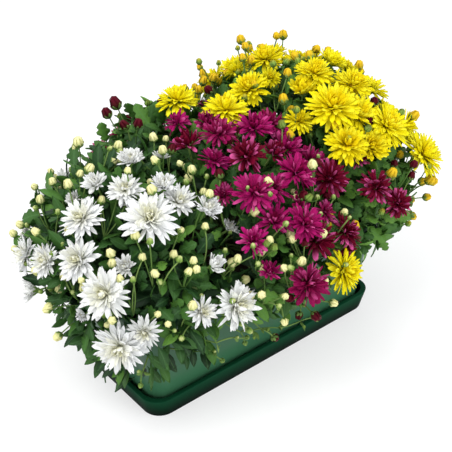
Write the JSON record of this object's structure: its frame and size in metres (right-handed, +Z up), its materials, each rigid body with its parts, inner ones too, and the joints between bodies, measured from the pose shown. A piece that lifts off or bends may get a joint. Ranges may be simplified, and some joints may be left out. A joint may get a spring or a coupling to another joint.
{
  "type": "planted window box",
  "caption": "Green plastic trough on its drip tray, planted with a row of white, magenta and yellow chrysanthemums in leaf, bloom and bud.",
  "frame": {"origin": "centre of the drip tray's underside, on the surface that it stands on", "axes": "+Z up; +X along the row of plants, from the white plant towards the yellow one; -Y towards the trough's front long side"},
  "size_m": [0.5992, 0.4383, 0.3788],
  "materials": {
    "box_plastic": "dark green moulded plastic, glossy with fine scuffs",
    "tray_plastic": "darker green moulded plastic, glossy",
    "compost": "dark brown moist peat compost, crumbly and matte",
    "stem": "pale green stem, woody at the foot, matte",
    "leaf": "dark green lobed leaves with paler veins, satin",
    "white_petal": "white petals with a cream centre, soft satin",
    "magenta_petal": "dark magenta petals with a pink reverse, velvety",
    "yellow_petal": "bright yellow petals, deeper yellow at the centre, soft satin",
    "bud_green": "cream bud in a green calyx, satin",
    "bud_red": "dark red round bud, satin",
    "bud_gold": "golden yellow bud in a green calyx, satin"
  },
  "bodies": {
    "root": {"compost": "compost", "drip_tray": "tray_plastic", "magenta_bloom_01": "magenta_petal", "magenta_bloom_02": "magenta_petal", "magenta_bloom_03": "magenta_petal", "magenta_bloom_04": "magenta_petal", "magenta_bloom_05": "magenta_petal", "magenta_bloom_06": "magenta_petal", "magenta_bloom_07": "magenta_petal", "magenta_bloom_08": "magenta_petal", "magenta_bloom_09": "magenta_petal", "magenta_bloom_10": "magenta_petal", "magenta_bloom_11": "magenta_petal", "magenta_bloom_12": "magenta_petal", "magenta_bloom_13": "magenta_petal", "magenta_bloom_14": "magenta_petal", "magenta_bud_01": "bud_red", "magenta_bud_02": "bud_red", "magenta_bud_03": "bud_red", "magenta_leaves": "leaf", "magenta_stems": "stem", "white_bloom_01": "white_petal", "white_bloom_02": "white_petal", "white_bloom_03": "white_petal", "white_bloom_04": "white_petal", "white_bloom_05": "white_petal", "white_bloom_06": "white_petal", "white_bloom_07": "white_petal", "white_bloom_08": "white_petal", "white_bloom_09": "white_petal", "white_bloom_10": "white_petal", "white_bloom_11": "white_petal", "white_bloom_12": "white_petal", "white_bloom_13": "white_petal", "white_bloom_14": "white_petal", "white_bloom_15": "white_petal", "white_bud_01": "bud_green", "white_bud_02": "bud_green", "white_leaves": "leaf", "white_stems": "stem", "window_box": "box_plastic", "yellow_bloom_01": "yellow_petal", "yellow_bloom_02": "yellow_petal", "yellow_bloom_03": "yellow_petal", "yellow_bloom_04": "yellow_petal", "yellow_bloom_05": "yellow_petal", "yellow_bloom_06": "yellow_petal", "yellow_bloom_07": "yellow_petal", "yellow_bloom_08": "yellow_petal", "yellow_bloom_09": "yellow_petal", "yellow_bloom_10": "yellow_petal", "yellow_bloom_11": "yellow_petal", "yellow_bloom_12": "yellow_petal", "yellow_bloom_13": "yellow_petal", "yellow_bud_01": "bud_gold", "yellow_bud_02": "bud_gold", "yellow_bud_03": "bud_gold", "yellow_bud_04": "bud_gold", "yellow_leaves": "leaf", "yellow_stems": "stem"}
  },
  "joints": []
}
